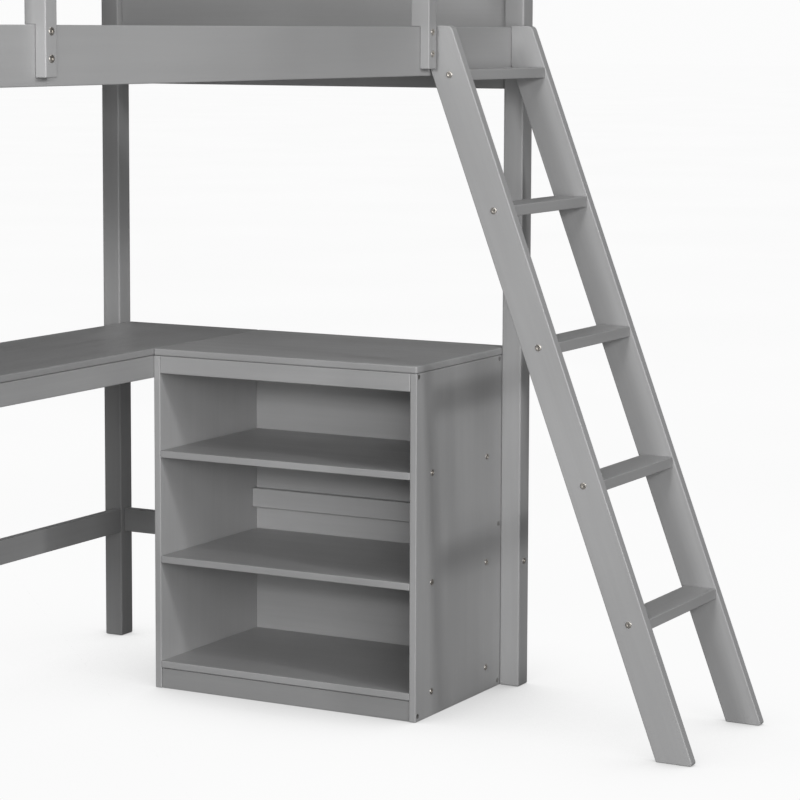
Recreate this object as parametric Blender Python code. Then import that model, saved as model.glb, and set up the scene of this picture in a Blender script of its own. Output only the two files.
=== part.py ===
"""Loft bed with an L-shaped desk, an open bookcase and a slanted ladder, in painted wood.

+X is the bed's length towards the bookcase end, -Y is the ladder side, +Z is up. The floor is Z = 0 and the
origin is under the middle of the whole object, ladder included. Metres.
"""

import math

import bmesh
import bpy

# Overall sizes.
BED_LENGTH = 2.000
BED_WIDTH = 1.060
POST_HEIGHT = 1.735
POST = 0.045
GAP = 0.0003
EASE = 0.0015
SOFT_EASE = 0.003
ROOT = "loft_bed"
PAINT_TONE = 0.32
PAINT_ROUGHNESS = 0.42
SLAT_TONE = 0.5
SLAT_ROUGHNESS = 0.6

# Sleeping deck and guards.
RAIL_Z = (1.300, 1.395)
RAIL_THICK = 0.022
END_RAIL_Z = (1.267, 1.362)
END_CAP_Z = (1.650, 1.720)
END_PANEL_THICK = 0.012
GUARD_LOWER_Z = (1.475, 1.545)
GUARD_UPPER_Z = (1.630, 1.700)
GUARD_THICK = 0.020
GUARD_POST_WIDTH = 0.030
GUARD_POST_DEPTH = 0.040
GUARD_LAP = 0.020
GUARD_POST_FOOT = 1.314
GUARD_POST_FROM_RIGHT = (1.737, 0.486)
STILE_WIDTH = 0.060
LEDGER = 0.025
LEDGER_TOP = 1.330
SLAT_COUNT = 11
SLAT_WIDTH = 0.090
SLAT_THICK = 0.015
SLAT_END_MARGIN = 0.005

# Desk and bookcase.
BOARD = 0.015
DESK_TOP = 0.7235
ARM_DEPTH = 0.3435
CASE_DEPTH = 0.4232
CASE_BACK_THICK = 0.005
CASE_BRACE_THICK = 0.018
PLINTH_SETBACK = 0.0025
PLINTH_SEAM = 0.0015
BRACE_Z = (0.3335, 0.3755)
HEADER_BOTTOM = 0.6716
APRON_BOTTOM = 0.6614
SHELF_TOPS = {"bottom": 0.0585, "shelf_lower": 0.2837, "shelf_upper": 0.5082}
STRETCHER_Z = (0.242, 0.295)
STRETCHER_THICK = 0.020

# Ladder.
STRINGER_THICK = 0.021
STRINGER_RUN = 0.0762
STRINGER_TOP = 1.3975
LADDER_SLOPE = 0.3762
LADDER_REACH = 0.570
LADDER_LEFT_FROM_RIGHT = 0.4611
LADDER_WIDTH = 0.3778
LADDER_TOE_RADIUS = 0.005
LADDER_TOP_RADIUS = 0.012
TREAD_THICK = 0.021
TREAD_FIRST = 0.260
TREAD_PITCH = 0.2607
TREAD_COUNT = 5

RIGHT = BED_LENGTH / 2
LEFT = -RIGHT
DEPTH = BED_WIDTH + LADDER_REACH
BACK = DEPTH / 2
FRONT = BACK - BED_WIDTH
DESK_UNDER = DESK_TOP - BOARD
CASE_FRONT = RIGHT - CASE_DEPTH
CASE_BACK = RIGHT - POST / 2 - STRETCHER_THICK / 2 - GAP
ARM_FRONT = BACK - POST - GAP - ARM_DEPTH
TOE = FRONT - LADDER_REACH


def clear_scene():
    for item in list(bpy.data.objects):
        bpy.data.objects.remove(item, do_unlink=True)
    root = bpy.data.objects.new(ROOT, None)
    bpy.context.scene.collection.objects.link(root)


def painted(name, tone, roughness):
    mat = bpy.data.materials.new(name)
    mat.use_nodes = True
    shader = mat.node_tree.nodes["Principled BSDF"]
    shader.inputs["Base Color"].default_value = (tone, tone * 1.002, tone * 1.008, 1.0)
    shader.inputs["Roughness"].default_value = roughness
    shader.inputs["Metallic"].default_value = 0.0
    mat.diffuse_color = (tone, tone, tone, 1.0)
    return mat


def finish(name, mesh, place, tone, roughness, ease):
    obj = bpy.data.objects.new(name, mesh)
    bpy.context.scene.collection.objects.link(obj)
    obj.location = place
    obj.parent = bpy.data.objects[ROOT]
    obj.data.materials.append(painted(name + "_paint", tone, roughness))
    bevel = obj.modifiers.new("eased_edges", "BEVEL")
    bevel.width = ease
    bevel.segments = 2
    bevel.limit_method = "ANGLE"
    bevel.angle_limit = math.radians(40)
    return obj


def prism(name, outline, axis, span, tone=PAINT_TONE, roughness=PAINT_ROUGHNESS, ease=EASE):
    """A board whose outline is given in the two directions other than axis, and runs over span along axis."""
    middle = [(min(side) + max(side)) / 2 for side in zip(*outline)]
    half = (span[1] - span[0]) / 2
    mesh = bpy.data.meshes.new(name)
    bm = bmesh.new()

    def point(a, b, along):
        coords = [a, b]
        coords.insert("XYZ".index(axis), along)
        return coords

    shape = [(a - middle[0], b - middle[1]) for a, b in outline]
    low = [bm.verts.new(point(a, b, -half)) for a, b in shape]
    high = [bm.verts.new(point(a, b, half)) for a, b in shape]
    bm.faces.new(low)
    bm.faces.new(high)
    for i in range(len(shape)):
        j = (i + 1) % len(shape)
        bm.faces.new((low[i], low[j], high[j], high[i]))
    bmesh.ops.recalc_face_normals(bm, faces=bm.faces)
    bm.to_mesh(mesh)
    bm.free()
    return finish(name, mesh, point(*middle, sum(span) / 2), tone, roughness, ease)


def board(name, x, y, z, **look):
    """A straight board given by its low and high limit in each direction."""
    outline = [(x[0], y[0]), (x[1], y[0]), (x[1], y[1]), (x[0], y[1])]
    return prism(name, outline, "Z", z, **look)


def rounded(outline, corners, steps=4):
    """The outline with the corners named by index rounded to the radius given for each."""
    points = []
    count = len(outline)
    for i, (px, py) in enumerate(outline):
        radius = corners.get(i)
        if radius is None:
            points.append((px, py))
            continue
        ax, ay = outline[i - 1]
        bx, by = outline[(i + 1) % count]
        la = math.hypot(ax - px, ay - py)
        lb = math.hypot(bx - px, by - py)
        ua = ((ax - px) / la, (ay - py) / la)
        ub = ((bx - px) / lb, (by - py) / lb)
        half = math.acos(ua[0] * ub[0] + ua[1] * ub[1]) / 2
        back = radius / math.tan(half)
        mid = (ua[0] + ub[0], ua[1] + ub[1])
        reach = radius / math.sin(half) / math.hypot(*mid)
        cx = px + mid[0] * reach
        cy = py + mid[1] * reach
        start = math.atan2(py + ua[1] * back - cy, px + ua[0] * back - cx)
        end = math.atan2(py + ub[1] * back - cy, px + ub[0] * back - cx)
        turn = (end - start + math.pi) % (2 * math.pi) - math.pi
        for k in range(steps + 1):
            angle = start + turn * k / steps
            points.append((cx + radius * math.cos(angle), cy + radius * math.sin(angle)))
    return points


def centred(middle, thick):
    return (middle - thick / 2, middle + thick / 2)


def mirror_x(span):
    return (-span[1], -span[0])


def build_posts():
    ends = {"right": (RIGHT - POST, RIGHT), "left": (LEFT, LEFT + POST)}
    sides = {"front": (FRONT, FRONT + POST), "back": (BACK - POST, BACK)}
    for end, x in ends.items():
        for side, y in sides.items():
            board(f"post_{side}_{end}", x, y, (0.0, POST_HEIGHT), ease=SOFT_EASE)


def build_deck():
    between_posts_x = (LEFT + POST + GAP, RIGHT - POST - GAP)
    between_posts_y = (FRONT + POST + GAP, BACK - POST - GAP)
    front_inner = FRONT + RAIL_THICK
    back_inner = BACK - RAIL_THICK
    board("side_rail_front", between_posts_x, (FRONT, front_inner), RAIL_Z)
    board("side_rail_back", between_posts_x, (back_inner, BACK), RAIL_Z)
    ledger_z = (LEDGER_TOP - LEDGER, LEDGER_TOP)
    board("ledger_front", between_posts_x, (front_inner + GAP, front_inner + GAP + LEDGER), ledger_z)
    board("ledger_back", between_posts_x, (back_inner - GAP - LEDGER, back_inner - GAP), ledger_z)

    rail_x = centred(RIGHT - POST / 2, RAIL_THICK)
    panel_x = centred(RIGHT - POST / 2, END_PANEL_THICK)
    panel_z = (END_RAIL_Z[1] + GAP, END_CAP_Z[0] - GAP)
    for end, thick_x, thin_x in (
        ("right", rail_x, panel_x),
        ("left", mirror_x(rail_x), mirror_x(panel_x)),
    ):
        board(f"end_rail_{end}", thick_x, between_posts_y, END_RAIL_Z)
        board(f"end_panel_{end}", thin_x, between_posts_y, panel_z)
        board(f"end_cap_{end}", thick_x, between_posts_y, END_CAP_Z)

    slat_y = (front_inner + 2 * GAP, back_inner - 2 * GAP)
    slat_z = (LEDGER_TOP + GAP, LEDGER_TOP + GAP + SLAT_THICK)
    first = between_posts_x[0] + SLAT_END_MARGIN + SLAT_WIDTH / 2
    pitch = -2 * first / (SLAT_COUNT - 1)
    for i in range(SLAT_COUNT):
        slat_x = centred(first + pitch * i, SLAT_WIDTH)
        board(f"slat_{i + 1:02d}", slat_x, slat_y, slat_z, tone=SLAT_TONE, roughness=SLAT_ROUGHNESS)


def build_guards():
    face = FRONT - GAP - GUARD_LAP
    inner = face + GUARD_POST_DEPTH
    notch_top = RAIL_Z[1] + GAP
    profile = [
        (face, GUARD_POST_FOOT),
        (FRONT - GAP, GUARD_POST_FOOT),
        (FRONT - GAP, notch_top),
        (inner, notch_top),
        (inner, GUARD_UPPER_Z[1]),
        (face, GUARD_UPPER_Z[1]),
    ]
    for name, offset in zip(("guard_post_left", "guard_post_right"), GUARD_POST_FROM_RIGHT):
        prism(name, profile, "X", centred(RIGHT - offset, GUARD_POST_WIDTH))

    front_y = (inner + GAP, inner + GAP + GUARD_THICK)
    front_x = (LEFT + POST + GAP, RIGHT - GUARD_POST_FROM_RIGHT[1] + GUARD_POST_WIDTH / 2)
    board("guard_front_lower", front_x, front_y, GUARD_LOWER_Z)
    board("guard_front_upper", front_x, front_y, GUARD_UPPER_Z)

    back_y = (BACK - RAIL_THICK, BACK - RAIL_THICK + GUARD_THICK)
    back_x = (LEFT + POST + GAP, RIGHT - POST - GAP)
    board("guard_back_lower", back_x, back_y, GUARD_LOWER_Z)
    board("guard_back_upper", back_x, back_y, GUARD_UPPER_Z)
    stile_y = (back_y[0] - GAP - GUARD_THICK, back_y[0] - GAP)
    stile_z = (LEDGER_TOP + SLAT_THICK + 2 * GAP, GUARD_UPPER_Z[1])
    board("guard_back_stile", centred(0.0, STILE_WIDTH), stile_y, stile_z)


def build_desk():
    arm_y = (ARM_FRONT, BACK - POST - GAP)
    board("desktop_arm", (LEFT, RIGHT), arm_y, (DESK_UNDER, DESK_TOP), ease=SOFT_EASE)
    return_y = (FRONT + POST + GAP, ARM_FRONT - GAP)
    board("desktop_return", (CASE_FRONT, RIGHT), return_y, (DESK_UNDER, DESK_TOP), ease=SOFT_EASE)

    under = (APRON_BOTTOM, DESK_UNDER - GAP)
    end_inner = POST / 2 + STRETCHER_THICK / 2
    apron_x = (LEFT + end_inner + GAP, RIGHT - end_inner - GAP)
    board("apron_front", apron_x, (ARM_FRONT, ARM_FRONT + BOARD), under)
    board("apron_back", apron_x, (arm_y[1] - BOARD, arm_y[1]), under)
    right_x = centred(RIGHT - POST / 2, STRETCHER_THICK)
    board("desk_bearer_right", right_x, (ARM_FRONT, BACK - POST - GAP), under)
    board("desk_bearer_left", mirror_x(right_x), (FRONT + POST + GAP, BACK - POST - GAP), under)


def build_stretchers():
    x = centred(RIGHT - POST / 2, STRETCHER_THICK)
    y = (FRONT + POST + GAP, BACK - POST - GAP)
    board("stretcher_right", x, y, STRETCHER_Z)
    board("stretcher_left", mirror_x(x), y, STRETCHER_Z)
    back_y = (BACK - POST, BACK - POST + STRETCHER_THICK)
    board("stretcher_back", (LEFT + POST + GAP, RIGHT - POST - GAP), back_y, STRETCHER_Z)


def build_bookcase():
    top = DESK_UNDER - GAP
    left_y = (ARM_FRONT - GAP - BOARD, ARM_FRONT - GAP)
    right_y = (FRONT + POST + GAP, FRONT + POST + GAP + BOARD)
    inside = (right_y[1] + GAP, left_y[0] - GAP)
    board("bookcase_side_left", (CASE_FRONT, CASE_BACK), left_y, (0.0, top))
    board("bookcase_side_right", (CASE_FRONT, CASE_BACK), right_y, (0.0, top))
    panel_x = (CASE_BACK - CASE_BACK_THICK, CASE_BACK)
    board("bookcase_back", panel_x, inside, (0.0, top), ease=EASE / 2)
    fill = panel_x[0] - GAP
    for label, height in SHELF_TOPS.items():
        board(f"bookcase_{label}", (CASE_FRONT, fill), inside, (height - BOARD, height))
    brace_x = (fill - CASE_BRACE_THICK, fill)
    front_x = (CASE_FRONT, CASE_FRONT + BOARD)
    board("bookcase_header", front_x, inside, (HEADER_BOTTOM, top))
    plinth_x = (CASE_FRONT + PLINTH_SETBACK, CASE_FRONT + PLINTH_SETBACK + BOARD)
    board("bookcase_plinth", plinth_x, inside, (0.0, SHELF_TOPS["bottom"] - BOARD - PLINTH_SEAM))
    board("bookcase_rear_rail", brace_x, inside, (HEADER_BOTTOM, top))
    board("bookcase_brace", brace_x, inside, BRACE_Z)


def build_ladder():
    rail_face = FRONT - GAP
    toe_half_angle = math.atan(1 / LADDER_SLOPE) / 2
    lost_to_rounding = LADDER_TOE_RADIUS * (1 / math.tan(toe_half_angle) - 1)

    def toe_line(z):
        return TOE - lost_to_rounding + LADDER_SLOPE * z

    def heel_line(z):
        return toe_line(z) + STRINGER_RUN

    cut = (rail_face - heel_line(0.0)) / LADDER_SLOPE
    profile = [
        (toe_line(0.0), 0.0),
        (heel_line(0.0), 0.0),
        (rail_face, cut),
        (rail_face, STRINGER_TOP),
        (toe_line(STRINGER_TOP), STRINGER_TOP),
    ]
    profile = rounded(profile, {0: LADDER_TOE_RADIUS, 4: LADDER_TOP_RADIUS})
    left = RIGHT - LADDER_LEFT_FROM_RIGHT
    right = left + LADDER_WIDTH
    prism("ladder_stringer_left", profile, "X", (left, left + STRINGER_THICK))
    prism("ladder_stringer_right", profile, "X", (right - STRINGER_THICK, right))
    tread_x = (left + STRINGER_THICK + GAP, right - STRINGER_THICK - GAP)
    for i in range(TREAD_COUNT):
        middle = TREAD_FIRST + TREAD_PITCH * i
        low, high = centred(middle, TREAD_THICK)
        depth = (toe_line(high), heel_line(low))
        board(f"ladder_tread_{i + 1}", tread_x, depth, (low, high))


clear_scene()
build_posts()
build_deck()
build_guards()
build_desk()
build_stretchers()
build_bookcase()
build_ladder()
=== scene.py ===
"""Looks, hardware, light and camera for the painted loft bed with its desk, bookcase and ladder."""

import math

import bmesh
import bpy
from mathutils import Euler, Matrix, Vector


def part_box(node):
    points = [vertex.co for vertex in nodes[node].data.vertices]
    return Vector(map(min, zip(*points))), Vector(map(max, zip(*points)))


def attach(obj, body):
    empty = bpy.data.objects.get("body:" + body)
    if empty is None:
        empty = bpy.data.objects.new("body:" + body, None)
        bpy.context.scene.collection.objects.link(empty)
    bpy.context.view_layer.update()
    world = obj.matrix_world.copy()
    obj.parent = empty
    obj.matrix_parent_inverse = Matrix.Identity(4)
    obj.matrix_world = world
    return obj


# Paint, in linear colour. The slats are planed wood with one thin matt coat.
PAINT = (0.335, 0.335, 0.337)
SLAT_PAINT = (0.47, 0.467, 0.46)
PAINT_ROUGHNESS = 0.40
SLAT_ROUGHNESS = 0.62
EASED_EDGE = 0.0022

# The coat's marks: length and width of each along and across the grain, and how fine the specks are.
BRUSH_MARK = (0.60, 0.030)
GRAIN_MARK = (0.22, 0.0055)
PORE_MARK = (0.012, 0.0011)
DRIFT_SCALE = 2.6
WEAR_SCALE = 34.0
SPECK_SCALE = 260.0
PEEL_SCALE = 620.0
# How much lighter the painted highlight on eased edges makes them.
PAINTED_EDGE_HIGHLIGHT = 0.16
RELIEF_DEPTH = 0.0006
RELIEF_STRENGTH = 0.35
BOARD_DRIFT = 0.012

# Connector bolts, with a low turned head and a hex socket, and the small countersunk screws.
BOLT_RADIUS = 0.0066
BOLT_HEIGHT = 0.0016
SOCKET_RADIUS = 0.0029
SOCKET_DEPTH = 0.0013
SCREW_RADIUS = 0.0048
SCREW_HEIGHT = 0.0008
SLOT_RADIUS = 0.0020
SLOT_DEPTH = 0.0006
SEATED = 0.0001
RING_POINTS = 24
SOCKET_SIDES = 6

# Where the fasteners sit, as distances from the edges of the boards that they hold.
GUARD_BOLTS_ABOVE_RAIL_FOOT = (0.085, 0.043)
SHELF_BOLTS_FROM_FRONT = (0.068, 0.313)
REAR_SCREW_INSET = 0.022
REAR_SCREW_HEIGHTS = (0.7015, 0.350, 0.012)
FRONT_SCREW_INSET = 0.009
FRONT_SCREW_HEIGHTS = (0.7015, 0.012)
SLAT_SCREW_INSET = 0.012

# What the lights face, near the bookcase.
LIGHT_TARGET = (0.3, 0.1, 0.6)

# The camera stands in front of the bed's left half and looks along its length.
CAMERA_PLACE = (-4.2214, -2.7729, 1.3900)
CAMERA_TURN = (83.987, -0.206, -61.420)
CAMERA_LENS = 124.19
CAMERA_SHIFT_Y = -0.100

FLOOR_SIZE = 200.0
FLOOR_DROP = 0.0005
FLOOR_BOUNCE = 0.16
CONTACT_REACH = 0.45
CONTACT_SHADE = 0.42
PALE = 0.97
AMBIENT = 0.05


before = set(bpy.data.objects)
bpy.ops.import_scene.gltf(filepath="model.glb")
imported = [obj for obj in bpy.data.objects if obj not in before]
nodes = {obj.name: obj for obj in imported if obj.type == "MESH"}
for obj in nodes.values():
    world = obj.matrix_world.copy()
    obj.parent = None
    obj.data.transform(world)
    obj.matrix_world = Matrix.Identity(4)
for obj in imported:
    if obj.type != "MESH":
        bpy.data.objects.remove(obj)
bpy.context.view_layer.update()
scene = bpy.context.scene


# ---------------------------------------------------------------- node material helpers


class Graph:
    """A small wrapper that adds and links shader nodes in one material or world."""

    def __init__(self, owner):
        owner.use_nodes = True
        self.tree = owner.node_tree
        self.tree.nodes.clear()

    def add(self, kind, inputs=None, **settings):
        node = self.tree.nodes.new(kind)
        for key, value in settings.items():
            setattr(node, key, value)
        for key, value in (inputs or {}).items():
            self.put(node.inputs[key], value)
        return node

    def put(self, socket, value):
        if isinstance(value, bpy.types.NodeSocket):
            self.tree.links.new(value, socket)
        else:
            socket.default_value = value

    def math(self, operation, *values, clamp=False):
        node = self.add("ShaderNodeMath", operation=operation, use_clamp=clamp)
        for socket, value in zip(node.inputs, values):
            self.put(socket, value)
        return node.outputs[0]

    def noise(self, vector, scale, detail=2.0, roughness=0.5, distortion=0.0):
        inputs = {
            "Vector": vector,
            "Scale": scale,
            "Detail": detail,
            "Roughness": roughness,
            "Distortion": distortion,
        }
        return self.add("ShaderNodeTexNoise", inputs).outputs["Fac"]

    def band(self, value, low, high, start=0.0, end=1.0):
        """Maps value from low..high to start..end, clamped and eased."""
        inputs = {"Value": value, "From Min": low, "From Max": high, "To Min": start, "To Max": end}
        return self.add("ShaderNodeMapRange", inputs, interpolation_type="SMOOTHSTEP").outputs["Result"]

    def scaled(self, colour, factor):
        """A colour times a grey factor."""
        node = self.add("ShaderNodeVectorMath", {0: colour}, operation="SCALE")
        self.put(node.inputs["Scale"], factor)
        return node.outputs["Vector"]

    def finish(self, surface, output="ShaderNodeOutputMaterial"):
        self.add(output, {"Surface": surface})


def painted_wood(name, axis, seed, tone=1.0, lean=0.0, streaks=1.0, slat=False):
    """Brushed satin paint on wood whose grain runs along one axis, leaned back about X."""
    material = bpy.data.materials.new(name)
    g = Graph(material)
    where = g.add("ShaderNodeTexCoord").outputs["Object"]
    offset = (1.7 * seed % 9.1, 2.9 * seed % 7.3, 4.3 * seed % 8.9)
    turned = g.add("ShaderNodeMapping", {"Vector": where, "Location": offset, "Rotation": (lean, 0, 0)})
    along = [1.0 if i == axis else 0.0 for i in range(3)]

    def stretched(mark):
        """Space squeezed so that a feature is as long down the grain and as wide across it as the mark."""
        length, width = mark
        scale = [1 / length if a else 1 / width for a in along]
        return g.add("ShaderNodeMapping", {"Vector": turned.outputs[0], "Scale": scale}).outputs[0]

    # Tone: slow drift of the coat, brushed streaks, and the grain that telegraphs through it.
    drift = g.noise(turned.outputs[0], DRIFT_SCALE, 2.0, 0.45)
    brushed = g.noise(stretched(BRUSH_MARK), 1.0, 3.0, 0.55)
    grain = g.noise(stretched(GRAIN_MARK), 1.0, 4.0, 0.60, 0.25)
    pores = g.noise(stretched(PORE_MARK), 1.0, 2.0, 0.6)
    speck = g.noise(turned.outputs[0], SPECK_SCALE, 1.0, 0.4)

    shade = g.band(drift, 0.3, 0.7, 0.96, 1.04)
    for mark in (
        g.band(brushed, 0.25, 0.75, 1 - 0.030 * streaks, 1 + 0.030 * streaks),
        g.band(grain, 0.3, 0.7, 1 - 0.016 * streaks, 1 + 0.014 * streaks),
        g.band(pores, 0.62, 0.8, 1.0, 0.80 if slat else 0.955),
        g.band(speck, 0.76, 0.84, 1.0, 0.86),
    ):
        shade = g.math("MULTIPLY", shade, mark)

    # Eased edges carry a painted highlight: they are painted a little lighter, unevenly.
    rounded = g.add("ShaderNodeBevel", {"Radius": EASED_EDGE}, samples=6).outputs["Normal"]
    facing = g.add("ShaderNodeNewGeometry").outputs["Normal"]
    turn = g.add("ShaderNodeVectorMath", {0: rounded, 1: facing}, operation="DOT_PRODUCT").outputs["Value"]
    edge = g.band(turn, 0.995, 0.86)
    uneven = g.band(g.noise(turned.outputs[0], WEAR_SCALE, 3.0, 0.6), 0.35, 0.65, 0.35, 1.0)
    painted_highlight_edge = g.math("MULTIPLY", edge, uneven)
    shade = g.math("MULTIPLY", shade, g.math("MULTIPLY_ADD", painted_highlight_edge, PAINTED_EDGE_HIGHLIGHT, 1.0))

    # The tone makes the whole board lighter or darker: painted light and shade from the finish table, with a
    # small random drift per board.
    base = [c * tone for c in (SLAT_PAINT if slat else PAINT)]
    colour = g.scaled(base, shade)

    # Relief: grain under the coat, brush marks and the fine texture of sprayed paint.
    peel = g.noise(turned.outputs[0], PEEL_SCALE, 2.0, 0.5)
    relief = g.math("MULTIPLY", grain, 0.55 if slat else 0.32)
    relief = g.math("MULTIPLY_ADD", brushed, 0.30, relief)
    relief = g.math("MULTIPLY_ADD", peel, 0.12, relief)
    relief = g.math("MULTIPLY_ADD", pores, -0.30 if slat else -0.10, relief)
    bump = g.add(
        "ShaderNodeBump",
        {"Height": relief, "Normal": rounded, "Strength": RELIEF_STRENGTH, "Distance": RELIEF_DEPTH},
    )

    gloss = SLAT_ROUGHNESS if slat else PAINT_ROUGHNESS
    dull = g.math("ADD", brushed, g.math("MULTIPLY", speck, 0.3))
    rough = g.band(dull, 0.35, 0.95, gloss - 0.05, gloss + 0.09)
    rough = g.math("MULTIPLY_ADD", painted_highlight_edge, -0.05, rough)
    shader = g.add(
        "ShaderNodeBsdfPrincipled",
        {"Base Color": colour, "Roughness": rough, "Normal": bump.outputs[0], "IOR": 1.46},
    )
    g.finish(shader.outputs[0])
    return material


def plated_steel(name, tint, seed):
    """Zinc-plated steel with a fine texture, rubbed dull here and there."""
    material = bpy.data.materials.new(name)
    g = Graph(material)
    where = g.add("ShaderNodeTexCoord").outputs["Object"]
    cloud = g.noise(where, 310.0 + 7 * seed, 3.0, 0.6)
    fine = g.noise(where, 2400.0, 2.0, 0.5)
    colour = g.scaled(tint, g.band(cloud, 0.3, 0.7, 0.72, 1.08))
    rough = g.band(g.math("MULTIPLY_ADD", fine, 0.4, cloud), 0.5, 0.95, 0.26, 0.5)
    bump = g.add("ShaderNodeBump", {"Height": fine, "Strength": 0.3, "Distance": 0.00008})
    shader = g.add(
        "ShaderNodeBsdfPrincipled",
        {"Base Color": colour, "Metallic": 0.9, "Roughness": rough, "Normal": bump.outputs[0]},
    )
    g.finish(shader.outputs[0])
    return material


# ---------------------------------------------------------------- finish and painted light and shade of every board

X, Y, Z = 0, 1, 2
LEAN = math.atan2(
    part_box("ladder_tread_5")[0].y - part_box("ladder_tread_1")[0].y,
    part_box("ladder_tread_5")[0].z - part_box("ladder_tread_1")[0].z,
)

# Name prefix, grain axis, tone and strength of the streaks. The first match counts. The tones are painted
# light and shade: boards that sit in shade are painted darker, such as the desk arm, stretchers, end rails
# and plinth, and lit ones lighter, such as the bookcase's inner walls, back and brace and the end panels.
FINISHES_AND_PAINTED_LIGHT = (
    ("slat_", Y, 1.00, 3.0),
    ("ladder_tread", X, 0.99, 1.0),
    ("ladder_stringer", Z, 1.02, 0.8),
    ("post_front", Z, 1.05, 1.0),
    ("post_", Z, 0.97, 1.0),
    ("guard_post", Z, 1.02, 1.0),
    ("guard_back_stile", Z, 1.00, 1.0),
    ("guard_", X, 1.00, 1.0),
    ("side_rail", X, 1.00, 0.5),
    ("ledger", X, 1.05, 1.2),
    ("end_panel", Y, 1.12, 0.8),
    ("end_rail", Y, 0.90, 1.0),
    ("end_", Y, 0.98, 1.0),
    ("stretcher_back", X, 0.85, 1.0),
    ("stretcher", Y, 0.88, 1.0),
    ("apron", X, 0.98, 1.0),
    ("desk_bearer", Y, 0.98, 1.0),
    ("desktop_arm", X, 0.84, 1.2),
    ("desktop_return", Y, 1.02, 1.2),
    ("bookcase_side_left", Z, 1.14, 1.0),
    ("bookcase_side", Z, 1.05, 1.0),
    ("bookcase_back", Y, 1.12, 1.0),
    ("bookcase_brace", Y, 1.10, 1.0),
    ("bookcase_plinth", Y, 0.86, 1.0),
    ("bookcase", Y, 1.06, 1.1),
)

for seed, name in enumerate(sorted(nodes)):
    axis, tone, streaks = next(rest for prefix, *rest in FINISHES_AND_PAINTED_LIGHT if name.startswith(prefix))
    lean = LEAN if name.startswith("ladder_stringer") else 0.0
    tone *= 1 + BOARD_DRIFT * math.sin(2.4 * seed)
    look = painted_wood(f"finish_{name}", axis, seed + 1, tone, lean, streaks, slat=name.startswith("slat_"))
    board = nodes[name]
    for slot in board.material_slots:
        slot.material = look
    if not board.material_slots:
        board.data.materials.append(look)


# ---------------------------------------------------------------- hardware


def hexagon_point(angle, radius):
    """The point at this angle on a hexagon whose corners lie on the radius."""
    step = 2 * math.pi / SOCKET_SIDES
    local = (angle % step) - step / 2
    reach = radius * math.cos(step / 2) / math.cos(local)
    return reach * math.cos(angle), reach * math.sin(angle)


def cross_point(angle, radius):
    """The point at this angle on a rounded four-armed recess."""
    reach = radius * (0.45 + 0.55 * abs(math.cos(2 * angle)) ** 2)
    return reach * math.cos(angle), reach * math.sin(angle)


def round_point(angle, radius):
    return radius * math.cos(angle), radius * math.sin(angle)


def turned_head(name, profile, recess):
    """A closed turned head about +Z. Each profile row is a radius, a height and True in the recess."""
    shape = bmesh.new()
    rings = []
    for radius, height, inside in profile:
        outline = recess if inside else round_point
        ring = []
        for i in range(RING_POINTS):
            x, y = outline(2 * math.pi * i / RING_POINTS, radius)
            ring.append(shape.verts.new((x, y, height)))
        rings.append(ring)
    for lower, upper in zip(rings, rings[1:]):
        for i in range(RING_POINTS):
            j = (i + 1) % RING_POINTS
            shape.faces.new((lower[i], lower[j], upper[j], upper[i]))
    shape.faces.new(list(reversed(rings[0])))
    shape.faces.new(rings[-1])
    bmesh.ops.recalc_face_normals(shape, faces=shape.faces)
    mesh = bpy.data.meshes.new(name)
    shape.to_mesh(mesh)
    shape.free()
    mesh.shade_smooth()
    mesh.set_sharp_from_angle(angle=math.radians(38))
    return mesh


bolt_mesh = turned_head(
    "bolt_head",
    (
        (BOLT_RADIUS * 0.98, -SEATED, False),
        (BOLT_RADIUS, BOLT_HEIGHT * 0.35, False),
        (BOLT_RADIUS * 0.93, BOLT_HEIGHT * 0.78, False),
        (BOLT_RADIUS * 0.74, BOLT_HEIGHT, False),
        (SOCKET_RADIUS * 1.22, BOLT_HEIGHT * 0.98, False),
        (SOCKET_RADIUS, BOLT_HEIGHT * 0.84, True),
        (SOCKET_RADIUS * 0.97, BOLT_HEIGHT - SOCKET_DEPTH, True),
    ),
    hexagon_point,
)
screw_mesh = turned_head(
    "screw_head",
    (
        (SCREW_RADIUS, -SEATED, False),
        (SCREW_RADIUS, SCREW_HEIGHT * 0.5, False),
        (SCREW_RADIUS * 0.86, SCREW_HEIGHT, False),
        (SLOT_RADIUS * 1.25, SCREW_HEIGHT, False),
        (SLOT_RADIUS, SCREW_HEIGHT * 0.9, True),
        (SLOT_RADIUS * 0.8, SCREW_HEIGHT - SLOT_DEPTH, True),
    ),
    cross_point,
)
bolt_mesh.materials.append(plated_steel("plated_bolt", (0.56, 0.53, 0.49), 1))
screw_mesh.materials.append(plated_steel("plated_screw", (0.34, 0.335, 0.325), 2))

FACING = {"-X": (-1, 0, 0), "+X": (1, 0, 0), "-Y": (0, -1, 0), "+Y": (0, 1, 0), "+Z": (0, 0, 1)}
boxes = [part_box(name) for name in nodes]
placed = {}


def covered(place, facing):
    """True where another board lies over this place, so that no head fits there."""
    above = Vector(place) + Vector(FACING[facing]) * SCREW_HEIGHT
    return any(all(low[i] < above[i] < high[i] for i in range(3)) for low, high in boxes)


def fasten(kind, mesh, place, facing):
    """One head at place, looking along facing and turned a little differently each time."""
    if covered(place, facing):
        return
    placed[kind] = placed.get(kind, 0) + 1
    head = bpy.data.objects.new(f"{kind}_{placed[kind]:02d}", mesh)
    scene.collection.objects.link(head)
    turn = Matrix.Rotation(0.9 * placed[kind], 4, "Z")
    aim = Vector(FACING[facing]).to_track_quat("Z", "Y").to_matrix().to_4x4()
    head.matrix_world = Matrix.Translation(place) @ aim @ turn
    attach(head, "root")


def bolt(place, facing):
    fasten("bolt", bolt_mesh, place, facing)


def screw(place, facing):
    fasten("screw", screw_mesh, place, facing)


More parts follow.
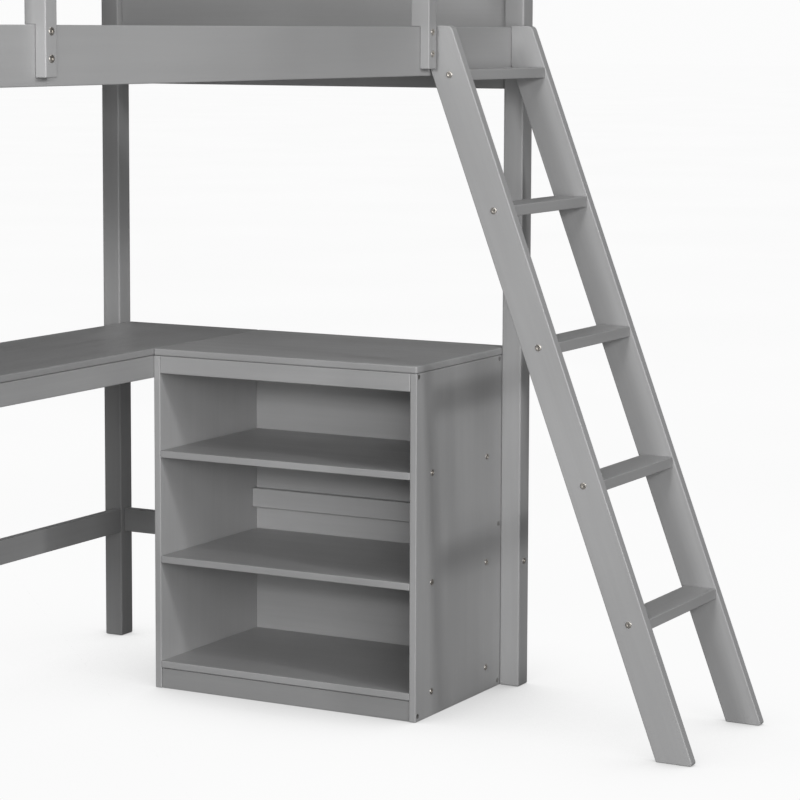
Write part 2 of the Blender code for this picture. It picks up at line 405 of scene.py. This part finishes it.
# One bolt through each stringer into each tread's end.
left_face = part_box("ladder_stringer_left")[0].x
right_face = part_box("ladder_stringer_right")[1].x
for i in range(1, 6):
    low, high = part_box(f"ladder_tread_{i}")
    y, z = (low.y + high.y) / 2, (low.z + high.z) / 2
    bolt((left_face, y, z), "-X")
    bolt((right_face, y, z), "+X")

# Two bolts through each guard post into the rail.
rail_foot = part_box("side_rail_front")[0].z
for name in ("guard_post_left", "guard_post_right"):
    low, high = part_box(name)
    for above in GUARD_BOLTS_ABOVE_RAIL_FOOT:
        bolt(((low.x + high.x) / 2, low.y, rail_foot + above), "-Y")

# Shelves and the bookcase's corners, on both its sides.
side_low, side_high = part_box("bookcase_side_right")
far_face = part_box("bookcase_side_left")[1].y
shelf_z = []
for name in ("bookcase_bottom", "bookcase_shelf_lower", "bookcase_shelf_upper"):
    low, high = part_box(name)
    shelf_z.append((low.z + high.z) / 2)
for y, facing in ((side_low.y, "-Y"), (far_face, "+Y")):
    for z in shelf_z:
        for back in SHELF_BOLTS_FROM_FRONT:
            bolt((side_low.x + back, y, z), facing)
    for z in REAR_SCREW_HEIGHTS:
        screw((side_high.x - REAR_SCREW_INSET, y, z), facing)
    for z in FRONT_SCREW_HEIGHTS:
        screw((side_low.x + FRONT_SCREW_INSET, y, z), facing)

# The lower stretchers, through the front posts.
stretch_low, stretch_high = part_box("stretcher_right")
for name in ("post_front_right", "post_front_left"):
    low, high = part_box(name)
    bolt(((low.x + high.x) / 2, low.y, (stretch_low.z + stretch_high.z) / 2), "-Y")

# Each slat is screwed down to the ledgers at both ends.
for name in sorted(nodes):
    if name.startswith("slat_"):
        low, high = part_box(name)
        for y in (low.y + SLAT_SCREW_INSET, high.y - SLAT_SCREW_INSET):
            screw(((low.x + high.x) / 2, y, high.z), "+Z")


# ---------------------------------------------------------------- floor, light and camera


def stage_material():
    """Pale floor that stays even to the horizon, with a painted contact shadow: darker only near what stands
    on it.
    """
    material = bpy.data.materials.new("pale_floor")
    g = Graph(material)
    where = g.add("ShaderNodeTexCoord").outputs["Object"]
    open_sky = g.add("ShaderNodeAmbientOcclusion", {"Distance": CONTACT_REACH}, samples=12).outputs["AO"]
    tone = g.math("MULTIPLY", g.band(g.noise(where, 0.6, 2.0, 0.5), 0.3, 0.7, 0.99, 1.0), PALE)
    # Painted contact shadow: the floor's glow is dimmed where ambient occlusion finds parts close by.
    glow = g.math("MULTIPLY", tone, g.band(open_sky, 0.0, 1.0, CONTACT_SHADE, 1.0))
    seen = g.add("ShaderNodeEmission", {"Color": (1, 1, 1, 1), "Strength": glow})
    lit = g.add("ShaderNodeBsdfDiffuse", {"Color": (FLOOR_BOUNCE, FLOOR_BOUNCE, FLOOR_BOUNCE, 1)})
    camera_ray = g.add("ShaderNodeLightPath").outputs["Is Camera Ray"]
    mixed = g.add("ShaderNodeMixShader", {0: camera_ray, 1: lit.outputs[0], 2: seen.outputs[0]})
    g.finish(mixed.outputs[0])
    return material


def studio_world():
    """An even pale backdrop for the camera, which gives the object only a little light."""
    world = bpy.data.worlds.new("studio")
    g = Graph(world)
    sky = g.add("ShaderNodeBackground", {"Color": (1, 1, 1, 1), "Strength": AMBIENT})
    backdrop = g.add("ShaderNodeBackground", {"Color": (1, 1, 1, 1), "Strength": PALE})
    camera_ray = g.add("ShaderNodeLightPath").outputs["Is Camera Ray"]
    mixed = g.add("ShaderNodeMixShader", {0: camera_ray, 1: sky.outputs[0], 2: backdrop.outputs[0]})
    g.finish(mixed.outputs[0], "ShaderNodeOutputWorld")
    return world


ground = bpy.data.meshes.new("floor")
half = FLOOR_SIZE / 2
corners = [(-half, -half, 0), (half, -half, 0), (half, half, 0), (-half, half, 0)]
ground.from_pydata(corners, [], [(0, 1, 2, 3)])
floor = bpy.data.objects.new("floor", ground)
floor.location.z = -FLOOR_DROP
scene.collection.objects.link(floor)
ground.materials.append(stage_material())

scene.world = studio_world()


def softbox(name, place, size, power, sheen):
    """A square area light aimed at the bookcase."""
    data = bpy.data.lights.new(name, "AREA")
    data.shape = "SQUARE"
    data.size = size
    data.energy = power
    light = bpy.data.objects.new(name, data)
    light.location = place
    light.rotation_euler = (Vector(LIGHT_TARGET) - Vector(place)).to_track_quat("-Z", "Y").to_euler()
    light.visible_camera = False
    light.visible_glossy = sheen
    scene.collection.objects.link(light)


# Name, place, size, power and sheen of each softbox. The two behind the object give no sheen.
SOFTBOXES = (
    ("front_key", (-0.75, -5.20, 3.05), 0.45, 64.0, True),
    ("front_soft", (-1.60, -5.20, 3.00), 1.5, 56.0, True),
    ("wide_fill", (-4.50, -4.00, 1.60), 3.0, 200.0, True),
    ("left_fill", (-6.00, -1.00, 2.30), 3.0, 23.0, True),
    ("left_key", (-6.00, -0.60, 2.20), 0.6, 127.0, True),
    ("left_high", (-5.50, -1.50, 4.50), 1.2, 38.0, True),
    ("overhead", (0.00, 0.00, 5.00), 3.0, 50.0, True),
    ("behind", (1.50, 6.50, 2.60), 3.0, 150.0, False),
    ("right_fill", (6.50, 1.20, 2.00), 3.0, 150.0, False),
)
for row in SOFTBOXES:
    softbox(*row)

camera_data = bpy.data.cameras.new("camera")
camera_data.lens = CAMERA_LENS
camera_data.sensor_width = 36.0
camera_data.shift_y = CAMERA_SHIFT_Y
camera = bpy.data.objects.new("camera", camera_data)
camera.location = CAMERA_PLACE
camera.rotation_euler = Euler([math.radians(a) for a in CAMERA_TURN])
scene.collection.objects.link(camera)
scene.camera = camera
scene.view_settings.view_transform = "Standard"
